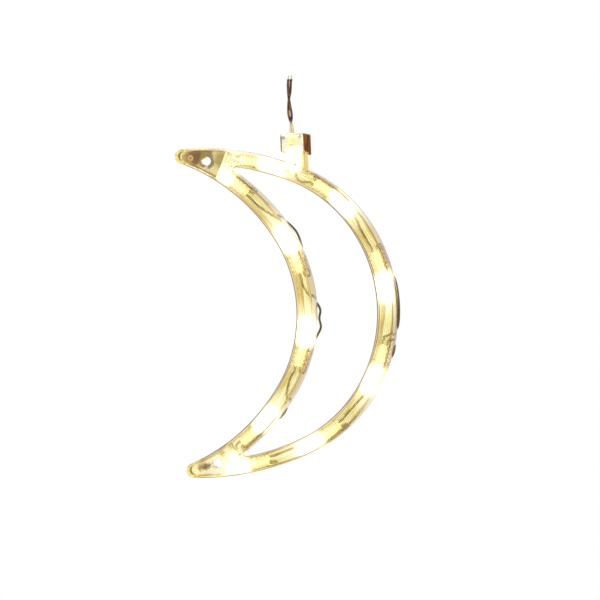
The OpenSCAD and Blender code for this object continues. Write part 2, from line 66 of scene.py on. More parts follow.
camera = bpy.data.objects.new("camera", bpy.data.cameras.new("camera"))
bpy.context.scene.collection.objects.link(camera)
camera.data.lens = CAMERA_LENS
camera.data.sensor_width = 36
camera.data.clip_start = 0.01
back = Vector((math.sin(CAMERA_TURN) * math.cos(CAMERA_RISE), -math.cos(CAMERA_TURN) * math.cos(CAMERA_RISE),
               math.sin(CAMERA_RISE)))
level = Vector((math.cos(CAMERA_TURN), math.sin(CAMERA_TURN), 0))
rise = back.cross(level)
right = level * math.cos(CAMERA_ROLL) + rise * math.sin(CAMERA_ROLL)
up = rise * math.cos(CAMERA_ROLL) - level * math.sin(CAMERA_ROLL)
camera.matrix_world = (Matrix.Translation(CAMERA_AIM + back * CAMERA_DISTANCE)
                       @ Matrix((right, up, back)).transposed().to_4x4())
bpy.context.scene.camera = camera
bpy.context.scene.view_settings.view_transform = "Standard"
print("camera at", [round(x, 3) for x in camera.location])

# %% [markdown]
# ## Where things are
# Both channels follow a middle arc that runs on into a flatter arc at each end. The same few sizes that the
# construction uses give every place along them: how far along the path, and how far to its side.

# %% Sizes of the construction, in millimetres
OUTER_R, OUTER_TURN, OUTER_FAR_R, OUTER_FAR_L = 76.9, math.radians(67.4), 156.5, 64.0
BELLY_W, INNER_R, INNER_TURN = 43.7, 74.1, math.radians(33.3)
CHANNEL_W, CHANNEL_D, WALL, SKIN, TIP_R = 8.8, 8.0, 1.2, 1.2, 3.9
SLEEVE_D, SLEEVE_L, SLEEVE_CHAMFER = 5.0, 10.0, 0.5
LED_D, LED_REACH, LED_SEAT, FIT = 4.2, 6.0, 2.0, 0.05
CORE_D, CORE_GAP, BARE_D, BARE_L = 1.3, 0.1, 0.8, 2.0
FRONT = -CHANNEL_D / 2
LAMP_Y = FRONT + SKIN + SLEEVE_D / 2 + FIT
NECK_FOOT, CAP_FOOT, CAP_HALF_W = 75.486, 82.186, 6.2
HORN_FLOOR = 1.6
HORN_FLOOR_Y = CHANNEL_D / 2 - HORN_FLOOR
# How far above and below the middle the belly's outside reaches
BELLY_REACH = 55.0
# The rounded end of the opening between the channels, and how far its web reaches
FORK, FORK_R, WEB_REACH = (-2.031, 74.074), 1.8, 10.0
# A point of the wall that shuts off the top horn, and how far the wall leans
PARTITION, PARTITION_LEAN = Vector((-12.0, 0, 77.0)), math.radians(24)

# %% Places on the two paths
def far_centre(path):
    x, r, turn, far_r = path
    return Vector((x + (r - far_r) * math.cos(turn), (r - far_r) * math.sin(turn)))


def on_path(path, s, off=0.0):
    """X and Z at a distance s along a path from its middle, off to its outside, and the heading there."""
    x, r, turn, far_r = path
    side = -1 if s < 0 else 1
    if abs(s) <= r * turn:
        angle, centre, radius = s / r, Vector((x, 0)), r
    else:
        angle = side * (turn + (abs(s) - r * turn) / far_r)
        centre, radius = Vector((far_centre(path)[0], side * far_centre(path)[1])), far_r
    way = Vector((math.cos(angle), math.sin(angle)))
    return centre + way * (radius + off), Vector((-way[1], way[0]))


OUTER = (0.0, OUTER_R, OUTER_TURN, OUTER_FAR_R)
TIP_IN = CHANNEL_W / 2 - TIP_R
tip = on_path(OUTER, OUTER_R * OUTER_TURN + OUTER_FAR_L, TIP_IN)[0]
inner_way = Vector((math.cos(INNER_TURN), math.sin(INNER_TURN)))
to_tip = tip - Vector((OUTER_R - BELLY_W - INNER_R, 0)) - inner_way * INNER_R
inner_far_r = (to_tip.dot(to_tip) - TIP_IN ** 2) / (2 * (-TIP_IN - to_tip.dot(inner_way)))
INNER = (OUTER_R - BELLY_W - INNER_R, INNER_R, INNER_TURN, inner_far_r)


def half_length(path):
    reach = tip - far_centre(path)
    return path[1] * path[2] + path[3] * (math.atan2(reach[1], reach[0]) - path[2])


# The construction's origin is the lead's top end, and its paths are drawn about the outer middle arc's centre
NECK_SHIFT, CAP_SHIFT, LEAD_SHIFT = 0.65, -0.6, -1.2
NECK_X = OUTER_R * math.cos(OUTER_TURN) + NECK_SHIFT
CAP_X = NECK_X + CAP_SHIFT
LEAD_X = CAP_X + LEAD_SHIFT
RISE = 121.986


def at(x, y, z):
    """A point of the paths' own frame, in millimetres, in the model's frame, in metres."""
    return Vector((x - LEAD_X, y, z - RISE)) * MM


OUTER_LAMP_SHARES = [0.473, 0.157, -0.157, -0.473]
INNER_LAMP_SHARES = [-0.219, 0.219]
OUTER_LAMP_IN, INNER_LAMP_IN = 37.69, 36.44
outer_half, inner_half = half_length(OUTER), half_length(INNER)
lamps = ([(OUTER, share * outer_half, -1) for share in OUTER_LAMP_SHARES]
         + [(OUTER, OUTER_LAMP_IN - outer_half, -1), (INNER, INNER_LAMP_IN - inner_half, 1)]
         + [(INNER, share * inner_half, 1) for share in INNER_LAMP_SHARES]
         + [(INNER, inner_half - INNER_LAMP_IN, 1), (OUTER, outer_half - OUTER_LAMP_IN, -1)])


def lamp_place(lamp, ahead=0.0):
    """The middle of a lamp's sleeve, or a point ahead of it, and the direction in which the lamp points."""
    path, s, hand = lamp
    q, heading = on_path(path, s)
    aim = heading * hand
    q = q + aim * ahead
    return at(q[0], LAMP_Y, q[1]), Vector((aim[0], 0, aim[1]))


for number, lamp in enumerate(lamps, 1):
    low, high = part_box(f"lamp_sleeve_{number:02d}")
    place = lamp_place(lamp)[0]
    print("lamp", number, [round(x / MM, 1) for x in place], "off its sleeve by",
          round((place - (low + high) / 2).length / MM, 2), "mm")

# %% [markdown]
# ## Helpers for finishes and shapes
# Colours are written as a paint chart gives them and turned to linear light by one function. One function
# adds a node, sets it and links it, whatever its kind.

# %% Colours and nodes
def linear(code):
    """An sRGB hex colour as the linear colour that shaders expect."""
    parts = [int(code[i:i + 2], 16) / 255 for i in (0, 2, 4)]
    return tuple(p / 12.92 if p <= 0.04045 else ((p + 0.055) / 1.055) ** 2.4 for p in parts) + (1.0,)


def add_node(tree, kind, inputs=None, **settings):
    """Adds a node with its settings; inputs maps a socket to a value, or to the output that feeds it."""
    node = tree.nodes.new(kind)
    for name, value in settings.items():
        setattr(node, name, value)
    for name, value in (inputs or {}).items():
        if isinstance(value, bpy.types.NodeSocket):
            tree.links.new(value, node.inputs[name])
        else:
            node.inputs[name].default_value = value
    return node


def new_finish(name):
    """An empty material, its node tree and its Object coordinates."""
    finish = bpy.data.materials.new(name)
    finish.use_nodes = True
    finish.node_tree.nodes.clear()
    place = add_node(finish.node_tree, "ShaderNodeTexCoord").outputs["Object"]
    return finish, finish.node_tree, place


def near(tree, place, centre, full, none):
    """A value that is 1 within one distance of a point, in millimetres, and falls to 0 at another."""
    away = add_node(tree, "ShaderNodeVectorMath", {0: place, 1: centre}, operation="DISTANCE").outputs[1]
    return add_node(tree, "ShaderNodeMapRange", {
        "Value": away, "From Min": full * MM, "From Max": none * MM, "To Min": 1.0, "To Max": 0.0},
        interpolation_type="SMOOTHSTEP").outputs[0]


def product(tree, share, *others):
    """Where several regions hold at once: their shares, from 0 to 1, multiplied."""
    for other in others:
        share = add_node(tree, "ShaderNodeMath", {0: share, 1: other}, operation="MULTIPLY").outputs[0]
    return share


def highest(tree, share, *others):
    """Where any of several regions holds: the highest of their shares."""
    for other in others:
        share = add_node(tree, "ShaderNodeMath", {0: share, 1: other}, operation="MAXIMUM").outputs[0]
    return share


def where(tree, *limits):
    """The region in which values keep to limits: each a value, LESS_THAN or GREATER_THAN, and the limit."""
    return product(tree, *[
        add_node(tree, "ShaderNodeMath", {0: value, 1: limit}, operation=operation).outputs[0]
        for value, operation, limit in limits])


def near_any(tree, place, centres, full, none):
    """The same as near, for whichever of several points is the nearest."""
    return highest(tree, *[near(tree, place, centre, full, none) for centre in centres])


def painted(tree, under, *coats):
    """A colour with coats laid over it in turn: each a share, and an sRGB hex colour or a node's colour."""
    for share, coat in coats:
        over = linear(coat) if isinstance(coat, str) else coat
        under = add_node(tree, "ShaderNodeMix", {0: share, 6: under, 7: over}, data_type="RGBA").outputs[2]
    return under


def clouded(tree, place, scale, dark, pale, low=0.0, high=1.0, detail=2.0):
    """A colour in clouds from a dark to a pale one: clouds a metre, and the span of the noise that is used."""
    noise = add_node(tree, "ShaderNodeTexNoise", {"Vector": place, "Scale": scale, "Detail": detail})
    cloud = add_node(tree, "ShaderNodeMapRange", {
        "Value": noise.outputs[0], "From Min": low, "From Max": high}).outputs[0]
    return painted(tree, linear(dark), (cloud, pale))


def spotted(tree, place, under, *spots):
    """A colour with soft round spots: each an x, z, full and none in the paths' frame, and a hex colour."""
    flat = add_node(tree, "ShaderNodeVectorMath", {0: place, 1: (1, 0, 1)}, operation="MULTIPLY").outputs[0]
    return painted(tree, under, *[(near(tree, flat, at(x, 0, z), full, none), code)
                                  for x, z, full, none, code in spots])


# %% Selecting and finishing
MERGE_GAP, FLAT_TURN, EDGE_TURN = 0.002, math.radians(0.3), math.radians(35)


def only(piece):
    """Deselects all, then makes one piece selected and active."""
    bpy.ops.object.select_all(action="DESELECT")
    piece.select_set(True)
    bpy.context.view_layer.objects.active = piece


def add_modifier(piece, kind, **settings):
    """Adds a modifier and applies it at once."""
    modifier = piece.modifiers.new(kind.lower(), kind)
    for name, value in settings.items():
        setattr(modifier, name, value)
    only(piece)
    bpy.ops.object.modifier_apply(modifier=modifier.name)


def merged_copy(node, name):
    """A copy of a CAD node as a new piece, with its loose triangles merged and its flat faces made whole."""
    piece = bpy.data.objects.new(name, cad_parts[node].data.copy())
    bpy.context.scene.collection.objects.link(piece)
    piece.data.materials.clear()
    only(piece)
    bpy.ops.object.mode_set(mode="EDIT")
    bpy.ops.mesh.select_all(action="SELECT")
    bpy.ops.mesh.remove_doubles(threshold=MERGE_GAP * MM)
    bpy.ops.mesh.dissolve_limited(angle_limit=FLAT_TURN)
    bpy.ops.object.mode_set(mode="OBJECT")
    return piece


def finish_piece(piece, slot, *nodes, sharp=30):
    """Gives a piece its slot's material and smooth shading, and says what it rides on and stands for."""
    piece.data.materials.clear()
    piece.data.materials.append(finishes[slot])
    only(piece)
    if piece.type == "MESH":
        bpy.ops.object.shade_smooth_by_angle(angle=math.radians(sharp))
    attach(piece, "root")
    if nodes:
        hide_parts(*nodes)
    faces = len(piece.data.polygons) if piece.type == "MESH" else 0
    print(piece.name, "for", nodes, "with", faces, "faces")


# %% [markdown]
# ## The lead
# Two insulated wires are twisted loosely round each other, leave the cap together and end in bare tinned
# strands. Each one is a curve with a round section, so that its length is that of its centreline.

# %% Route of the lead
LEAD_RISE = 30.4
CAP_TOP = RISE - LEAD_RISE
COLLAR_TOP = CAP_TOP - WALL - FIT
TWIST_R = (CORE_D + CORE_GAP) / 2
# Share of the lead's height above the cap, sideways in core diameters, turn in degrees, spread of the pair
LEAD_SHARES = [(0, 0, 200, 1), (0.19, -0.25, 110, 1.05), (0.34, -0.5, 20, 1.16), (0.46, -0.7, -28, 1.1),
               (0.6, -0.75, -70, 1), (0.72, -0.5, -120, 1), (0.86, -0.35, -160, 1.05), (1, 0, -175, 1.1)]
RINGS_A_STEP = 3
TOP_SHARE = 1 - BARE_L / LEAD_RISE
ROW_GAP = 1 / 60
IN_COLLAR = 1.5


def between(a, b, c, d, t):
    """A smooth value between b and c, a share t of the way, that follows the ones before and after."""
    bend, twist = 2 * a - 5 * b + 4 * c - d, 3 * b - a - 3 * c + d
    return 0.5 * (2 * b + (c - a) * t + bend * t * t + twist * t ** 3)


def smooth_rows(rows, steps):
    """Rows with smooth steps between them, as if one more row came before the first and after the last."""
    before, after = [[2 * p - q for p, q in zip(*pair)] for pair in (rows[:2], (rows[-1], rows[-2]))]
    ends = [before, *rows, after]
    made = [[between(a, b, c, d, k / steps) for a, b, c, d in zip(*ends[i:i + 4])]
            for i in range(len(rows) - 1) for k in range(steps)]
    return made + [list(rows[-1])]


lead_rows = [[(height - CAP_TOP) / LEAD_RISE, *LEAD_SHARES[0][1:]]
             for height in (COLLAR_TOP - IN_COLLAR, COLLAR_TOP)]
lead_rows += [row for row in smooth_rows(LEAD_SHARES, RINGS_A_STEP) if row[0] < TOP_SHARE - ROW_GAP]
lead_rows.append([TOP_SHARE, *LEAD_SHARES[-1][1:]])


def lead_point(row, hand):
    share, sideways, turn, spread = row
    away = hand * spread * TWIST_R
    return at(LEAD_X + sideways * CORE_D + away * math.cos(math.radians(turn)),
              away * math.sin(math.radians(turn)), CAP_TOP + share * LEAD_RISE)


# %% The two cores
def lead_core(name, hand):
    points = [lead_point(row, hand) for row in lead_rows]
    curve = bpy.data.curves.new(name, "CURVE")
    curve.dimensions = "3D"
    curve.bevel_depth = CORE_D / 2 * MM
    curve.bevel_resolution = 5
    curve.use_fill_caps = True
    spline = curve.splines.new("POLY")
    spline.points.add(len(points) - 1)
    for point, place in zip(spline.points, points):
        point.co = (*place, 1)
    core = bpy.data.objects.new(name, curve)
    bpy.context.scene.collection.objects.link(core)
    return core, sum((b - a).length for a, b in zip(points, points[1:])), points[0]


cores = {side: lead_core(f"lead_core_{side}_insulated", hand) for side, hand in (("a", 1), ("b", -1))}
for side, (core, length, foot) in cores.items():
    print(core.name, "is", round(length / MM, 2), "mm long from", [round(x / MM, 2) for x in foot])

# %% [markdown]
# ## Finishes
# The crescent is injection-moulded clear polystyrene: hard, glossy, and lit from inside by the lamps. Its
# colour comes from three things: the light soaked up along the way through it, a tint at its faces that
# holds painted shade on its edges, walls, ribs and backs, and a painted warm glow ahead of each lamp.
# The glow is worked out from the distance to the ten places that the lamps shine on. Tint and glow are laid
# on by regions, each a share from 0 to 1 at every point.

# %% Where the lamps shine
GLOW_AHEAD, SPILL_AHEAD, TIP_GLOW_AHEAD = 14.0, 18.0, 10.0
TIP_LAMP = 9
glow_places = [lamp_place(lamp, TIP_GLOW_AHEAD if number == TIP_LAMP else GLOW_AHEAD)[0]
               for number, lamp in enumerate(lamps, 1)]
tip_glow = glow_places[TIP_LAMP - 1]
spill_places = [lamp_place(lamp, SPILL_AHEAD)[0]
                for number, lamp in enumerate(lamps, 1) if number != TIP_LAMP]
# Some of the last lamp's light leaks back behind its sleeve
spill_places.append(at(-4, LAMP_Y, 80.5))
# Millimetres from such a place within which a light is full, and beyond which there is none
GLOW_REACH, TIP_GLOW_REACH, NECK_GLOW_REACH = (5, 11), (3.5, 8), (5, 9)
NECK_GLOW_UP = 3.0
SPILL_REACH, STATION_REACH = (5, 17), (4, 7.5)
STATION_SHARE = 0.6
PARTITION_SOFT = (-0.5, 1.0)
print("glow places in mm:", [[round(x / MM, 1) for x in place] for place in glow_places])


# %% Places in the channels, for the shader
def channel_places(tree, place):
    """Where a point is, in millimetres: own, x, depth and height in the paths' frame, the same folded to its
    upper half, and how far outside the nearest channel's middle (off) or just how far from it (side)."""
    own = add_node(tree, "ShaderNodeVectorMath", {0: place, 1: at(0, 0, 0)}, operation="SUBTRACT").outputs[0]
    own = add_node(tree, "ShaderNodeVectorMath", {0: own, "Scale": 1 / MM}, operation="SCALE").outputs[0]
    x, depth, height = add_node(tree, "ShaderNodeSeparateXYZ", {0: own}).outputs
    level = add_node(tree, "ShaderNodeMath", {0: height}, operation="ABSOLUTE").outputs[0]
    folded = add_node(tree, "ShaderNodeCombineXYZ", {"X": x, "Y": level}).outputs[0]
    across = []
    for path in (OUTER, INNER):
        path_x, r, turn, far_r = path
        offs = []
        for centre, radius in (((path_x, 0, 0), r), ((*far_centre(path), 0), far_r)):
            away = add_node(tree, "ShaderNodeVectorMath", {0: folded, 1: centre}, operation="DISTANCE")
            offs.append(add_node(tree, "ShaderNodeMath", {0: away.outputs[1], 1: radius},
                                 operation="SUBTRACT").outputs[0])
        way = (-math.sin(turn), math.cos(turn), 0)
        along = add_node(tree, "ShaderNodeVectorMath", {0: folded, 1: way}, operation="DOT_PRODUCT")
        past = where(tree, (along.outputs[1], "GREATER_THAN", path_x * way[0]))
        across.append(add_node(tree, "ShaderNodeMix", {0: past, 2: offs[0], 3: offs[1]},
                               data_type="FLOAT").outputs[0])
    sizes = [add_node(tree, "ShaderNodeMath", {0: off}, operation="ABSOLUTE").outputs[0] for off in across]
    inner = where(tree, (sizes[0], "GREATER_THAN", sizes[1]))
    off = add_node(tree, "ShaderNodeMix", {0: inner, 2: across[0], 3: across[1]},
                   data_type="FLOAT").outputs[0]
    side = add_node(tree, "ShaderNodeMath", {0: off}, operation="ABSOLUTE").outputs[0]
    return SimpleNamespace(own=own, x=x, depth=depth, height=height, folded=folded, off=off, side=side)


# %% Light from the lamps
def lit_shares(tree, place, spot, lower):
    """The bright light ahead of each lamp and the weaker light round it; the top horn's wall stops both."""
    to_tip = Vector((-math.cos(PARTITION_LEAN), 0, math.sin(PARTITION_LEAN)))
    start, end = [PARTITION.dot(to_tip) + soft for soft in PARTITION_SOFT]
    past = add_node(tree, "ShaderNodeVectorMath", {0: spot.own, 1: to_tip}, operation="DOT_PRODUCT")
    reached = add_node(tree, "ShaderNodeMapRange", {
        "Value": past.outputs[1], "From Min": start, "From Max": end,
        "To Min": 1.0, "To Max": 0.0}).outputs[0]
    reached = highest(tree, reached, lower)
    other_glows = [glow for glow in glow_places if glow != tip_glow]
    bright = highest(tree, near_any(tree, place, other_glows, *GLOW_REACH),
                     near(tree, place, tip_glow, *TIP_GLOW_REACH),
                     near(tree, place, at(NECK_X, 0, NECK_FOOT + NECK_GLOW_UP), *NECK_GLOW_REACH))
    station = near_any(tree, place, [lamp_place(lamp)[0] for lamp in lamps], *STATION_REACH)
    weak = highest(tree, near_any(tree, place, spill_places, *SPILL_REACH),
                   product(tree, station, STATION_SHARE))
    return [product(tree, share, reached) for share in (bright, weak)]


# %% Tint of the moulding's faces, with painted shade
# Noise cells per millimetre, so that the streaks are half a millimetre apart and a centimetre long
STREAK_ACROSS, STREAK_ALONG, STREAK_DEEP = 2.2, 0.09, 0.3
STREAK_SPAN = (0.45, 0.62)
# Millimetres from a channel's middle: where the painted shade of its wall begins, the painted dark line on
# it, and the wall's outside
WALL_SOFT, WALL_SHADE_LINE, WALL_SHADE_LINE_REACH, OUTSIDE, OUTSIDE_REACH = (2.9, 3.3), 3.2, 0.14, 4.42, 0.25
# Depths over which the painted shade on the outside grows darker, and then dark
DEEP_SOFT, BACK_SOFT = (-3.0, 2.0), (1.8, 3.2)


def channel_tint(tree, spot):
    """Pale yellow with fine amber streaks in the channels, and painted shade: greyer over their walls, with a
    brown line on each, and browner to the back of their outsides.
    """
    fine = add_node(tree, "ShaderNodeMath", {0: spot.off, 1: STREAK_ACROSS}, operation="MULTIPLY").outputs[0]
    fine = add_node(tree, "ShaderNodeCombineXYZ", {"X": fine}).outputs[0]
    streak = add_node(tree, "ShaderNodeVectorMath", {
        0: spot.own, 1: (STREAK_ALONG, STREAK_DEEP, STREAK_ALONG), 2: fine},
        operation="MULTIPLY_ADD").outputs[0]
    streak = add_node(tree, "ShaderNodeTexNoise", {"Vector": streak, "Scale": 1.0, "Detail": 3.0}).outputs[0]
    streak, wall, deep, back = [
        add_node(tree, "ShaderNodeMapRange", {"Value": value, "From Min": start, "From Max": end}).outputs[0]
        for value, (start, end) in ((streak, STREAK_SPAN), (spot.side, WALL_SOFT),
                                    (spot.depth, DEEP_SOFT), (spot.depth, BACK_SOFT))]
    wall_shade_line, outside = [add_node(tree, "ShaderNodeMath", {0: spot.side, 1: middle, 2: reach},
                              operation="COMPARE").outputs[0]
                     for middle, reach in ((WALL_SHADE_LINE, WALL_SHADE_LINE_REACH), (OUTSIDE, OUTSIDE_REACH))]
    # The walls are greyer in painted shade, with a brown painted line along each
    tint = painted(tree, linear("FFFACC"), (streak, "E6D670"), (wall, "F0E2C6"), (wall_shade_line, "C6AC70"))
    # The walls' outsides are in painted shade that grows brown towards the back
    outside_shade = painted(tree, linear("F6E2B2"), (deep, "D2BE8C"), (back, "8E7844"))
    return painted(tree, tint, (outside, outside_shade)), outside


# %% Edges of the front, in painted shade
EDGE_OFF, EDGE_REACH, FRONT_EDGE = 4.2, 0.35, FRONT + 0.5
NECK_REACH, RING_OUT, CAP_EDGE, CAP_EDGE_SHARE = 5.0, 0.25, 0.3, 0.55


def edge_shade_share(tree, spot, belly):
    """Narrow strips of painted shade along the edges, but none on the belly's outside, the neck's foot and
    the fork's web.
    """
    edge_shade, neck, left = [
        add_node(tree, "ShaderNodeMath", {0: value, 1: middle, 2: reach}, operation="COMPARE").outputs[0]
        for value, middle, reach in ((spot.side, EDGE_OFF, EDGE_REACH), (spot.x, NECK_X, NECK_REACH),
                                     (spot.x, CAP_X - CAP_HALF_W + CAP_EDGE, CAP_EDGE))]
    upper_outside = where(tree, (spot.height, "GREATER_THAN", 0.0), (spot.off, "GREATER_THAN", 0.0))
    neck = product(tree, neck, upper_outside)
    away = add_node(tree, "ShaderNodeVectorMath", {0: spot.folded, 1: (*FORK, 0)},
                    operation="DISTANCE").outputs[1]
    web = where(tree, (away, "LESS_THAN", WEB_REACH), (spot.x, "LESS_THAN", FORK[0]))
    bare = highest(tree, belly, neck, web)
    bare = add_node(tree, "ShaderNodeMath", {0: 1.0, 1: bare}, operation="SUBTRACT").outputs[0]
    # The web has a painted shade edge on its rounded end, and the cap has a fainter one on its left
    ring = add_node(tree, "ShaderNodeMath", {0: away, 1: FORK_R + RING_OUT, 2: EDGE_REACH},
                    operation="COMPARE").outputs[0]
    ring = product(tree, ring, where(tree, (spot.x, "LESS_THAN", FORK[0])))
    left = product(tree, left, where(tree, (spot.height, "GREATER_THAN", CAP_FOOT)), CAP_EDGE_SHARE)
    return highest(tree, product(tree, edge_shade, bare), ring, left)


def rim_shade_and_light(tree, front, belly):
    """The rounded edges: painted shade, brown at the back and greyer in front, and pale painted light in front
    on the belly's outside.
    """
    return painted(tree, linear("78683F"), (front, "84785E"), (product(tree, front, belly), "EEDDB0"))


# %% Floors of the horns, in painted shade
# Soft spots of painted shade, as spotted takes them; all but the two of the ring get wavy edges
TOP_SPOTS = [(-12.8, 81.0, 2.2, 6.5, "7A5C1C"), (-13.5, 79.0, 0.5, 2.5, "6E6A28"),
             (-33.0, 83.0, 1.0, 5.0, "8A5A1C"), (-27.5, 83.6, 3.5, 8.0, "3A1C04"),
             (-21.5, 85.4, 2.5, 5.5, "4E3410"), (-26.5, 83.0, 1.5, 4.5, "1C0C02"),
             (-21.17, 80.46, 3.6, 4.9, "4A3E12")]
TOP_RING = [(-30.6, 82.7, 1.0, 2.0, "A87C40"), (-30.6, 82.7, 0.2, 1.3, "3A2006")]
BOTTOM_SPOTS = [(-31.0, -79.0, 1.0, 4.0, "E0B868"), (-18.7, -74.8, 0.6, 2.8, "A89040"),
                (-15.4, -79.6, 0.8, 3.0, "ECC878"), (-31.5, -82.6, 0.8, 2.8, "7A4A10"),
                (-28.8, -82.2, 1.0, 3.0, "3E2204"), (-26.4, -81.6, 0.6, 2.0, "4A3808")]
WAVE, WAVES_A_METRE = 3.5, 700.0


def horn_floor_shade(tree, place, lower):
    """The floors of the horns, past the partitions, in painted shade: brown in the top one, where the
    partition shuts off the lamps' light, and cream with brown spots below.
    """
    wave = add_node(tree, "ShaderNodeTexNoise", {"Vector": place, "Scale": WAVES_A_METRE, "Detail": 2.0})
    wave = add_node(tree, "ShaderNodeVectorMath", {0: wave.outputs["Color"], 1: (0.5, 0.5, 0.5)},
                    operation="SUBTRACT").outputs[0]
    bent = add_node(tree, "ShaderNodeVectorMath", {0: wave, 1: (WAVE * MM, 0, WAVE * MM), 2: place},
                    operation="MULTIPLY_ADD").outputs[0]
    top = spotted(tree, place, spotted(tree, bent, linear("D4B878"), *TOP_SPOTS), *TOP_RING)
    return painted(tree, top, (lower, spotted(tree, bent, linear("FBEFD2"), *BOTTOM_SPOTS)))


# %% Clear moulded polystyrene, lit from inside
# Glossy and clear; yellow where little light reaches it and white where a lamp shines on it, with painted
# shade and a painted glow laid on by regions.
HALF_LIT = 0.55
HORN_LIGHT, HORN_LIGHT_REACH, HORN_TIP_REACH = at(-27.0, HORN_FLOOR_Y, 83.0), (3.5, 8.5), (2.5, 5.5)
# Bands of painted shade on the wall's outside: centre, reach, depths over which it comes up, colour. Round
# the belly the wire outside, in shade, shows through as a brown band, and above it the wall's back is a
# little darker.
SHADE_BANDS = [(at(OUTER_R + CHANNEL_W / 2, 0, -7), (16, 30), (-0.8, 0.8), "5A3A0C"),
         (at(66, 0, 42), (24, 31), (1.6, 2.4), "2E1E06")]
# The cap's front is lit cream, greyer in the middle, with an olive shadow in each upper corner
CAP_SPOTS = [(CAP_X, CAP_FOOT + 5, 1.0, 3.5, "B4AC86"), (CAP_X - 4.8, CAP_TOP - 1.9, 0.4, 1.8, "948E66"),
             (CAP_X + 4.6, CAP_TOP - 1.9, 0.4, 1.2, "B8B28C")]
CAP_SOFT, CAP_REACH, CAP_FRONT = (CAP_FOOT - 0.6, CAP_FOOT + 0.4), 7.0, FRONT + 0.2


def clear_moulding():
    finish, tree, place = new_finish("clear_polystyrene_lit")
    spot = channel_places(tree, place)
    marks = {name: add_node(tree, "ShaderNodeAttribute", attribute_name=name).outputs["Fac"]
             for name in ("rim", "pocket", "rib", "cap_side", "neck_side")}
    lower = where(tree, (spot.height, "LESS_THAN", 0.0))
    front = where(tree, (spot.depth, "LESS_THAN", FRONT_EDGE))
    belly = add_node(tree, "ShaderNodeMath", {0: spot.height, 1: 0.0, 2: BELLY_REACH},
                     operation="COMPARE").outputs[0]
    belly = product(tree, belly, where(tree, (spot.off, "GREATER_THAN", 0.0)))
    tint, outside = channel_tint(tree, spot)
    edge_shade = product(tree, edge_shade_share(tree, spot, belly), front)
    bright, weak = lit_shares(tree, place, spot, lower)
    # Where the glow lies on an edge, its painted shade is darker
    half, glow_edge_shade = product(tree, bright, HALF_LIT), product(tree, bright, edge_shade)
    # The light shows on the open faces only
    shaded = highest(tree, marks["rim"], outside, edge_shade, marks["rib"], marks["cap_side"], marks["neck_side"])
    open_face = add_node(tree, "ShaderNodeMath", {0: 1.0, 1: shaded}, operation="SUBTRACT").outputs[0]
    bright, weak = product(tree, bright, open_face), product(tree, weak, open_face)
    tint = painted(tree, tint, (half, "FFF8EA"), (weak, "FFFBDE"), (bright, "FFFEF6"))
    # The bands of painted shade on the wall's outside
    for centre, reach, (start, end), code in SHADE_BANDS:
        shade_band = add_node(tree, "ShaderNodeMapRange", {
            "Value": spot.depth, "From Min": start, "From Max": end}).outputs[0]
        tint = painted(tree, tint, (product(tree, near(tree, place, centre, *reach), shade_band, outside), code))
    # The cap's right side, back from its front, is in painted shade: dark brown, with a faint brown painted
    # glow
    beside = where(tree, (spot.x, "GREATER_THAN", CAP_X + CAP_HALF_W - CAP_EDGE),
                   (spot.depth, "GREATER_THAN", FRONT + CAP_EDGE),
                   (spot.height, "GREATER_THAN", CAP_FOOT - CAP_EDGE))
    # Coats of painted shade: amber on the ribs, brown on the horns' floors and the rims, grey-brown on the
    # edges and darker where they are in the glow, olive on the neck's sides, dark brown on the cap's sides
    tint = painted(tree, tint, (marks["rib"], "C0A45C"), (marks["pocket"], horn_floor_shade(tree, place, lower)),
                   (marks["rim"], rim_shade_and_light(tree, front, belly)), (edge_shade, "A89C84"), (glow_edge_shade, "4C4230"),
                   (marks["neck_side"], "A88E38"), (marks["cap_side"], "5A3006"), (beside, "2E1602"))
    # Painted glow on the top horn's floor and round both horn tips
    horn_light = product(tree, marks["pocket"], near(tree, place, HORN_LIGHT, *HORN_LIGHT_REACH))
    horn_tip_glow = near_any(tree, place, [at(tip[0], 0, side * tip[1]) for side in (1, -1)], *HORN_TIP_REACH)
    cap_front = add_node(tree, "ShaderNodeMapRange", {
        "Value": spot.height, "From Min": CAP_SOFT[0], "From Max": CAP_SOFT[1]}).outputs[0]
    cap_front = product(tree, cap_front, where(tree, (spot.depth, "LESS_THAN", CAP_FRONT),
                                               (spot.x, "GREATER_THAN", CAP_X - CAP_REACH),
                                               (edge_shade, "LESS_THAN", 0.5)))
    # The painted glow: faint all over, none on the shaded faces, some on the ribs, the neck's sides and the
    # cap's side, and full where the lamps shine
    light = painted(tree, linear("272412"), (shaded, "000000"), (marks["rib"], "4A3A14"), (weak, "4C4836"),
                    (bright, "D2C9AE"), (horn_tip_glow, "4A4228"), (marks["neck_side"], "7A6604"),
                    (horn_light, "4E3204"), (cap_front, spotted(tree, place, linear("E2DEC0"), *CAP_SPOTS)),
                    (beside, "54300E"))
    shader = add_node(tree, "ShaderNodeBsdfPrincipled", {
        "Base Color": tint, "Roughness": 0.04, "IOR": 1.59, "Transmission Weight": 1.0,
        "Emission Color": light, "Emission Strength": 1.0}).outputs[0]
    soak = add_node(tree, "ShaderNodeVolumeAbsorption", {
        "Color": linear("F2E07C"), "Density": 80.0}).outputs[0]
    add_node(tree, "ShaderNodeOutputMaterial", {"Surface": shader, "Volume": soak})
    return finish


# %% Lit lamp
# A warm-white lamp in clear epoxy: it shines evenly and shows as white.
def lit_lamp():
    finish, tree, place = new_finish("warm_white_lamp_epoxy")
    light = clouded(tree, place, 400.0, "FFF3C4", "FFFBEA")
    shader = add_node(tree, "ShaderNodeBsdfPrincipled", {
        "Base Color": linear("FFF8DC"), "Roughness": 0.12, "IOR": 1.55, "Emission Color": light,
        "Emission Strength": 1.6}).outputs[0]
    add_node(tree, "ShaderNodeOutputMaterial", {"Surface": shader})
    return finish


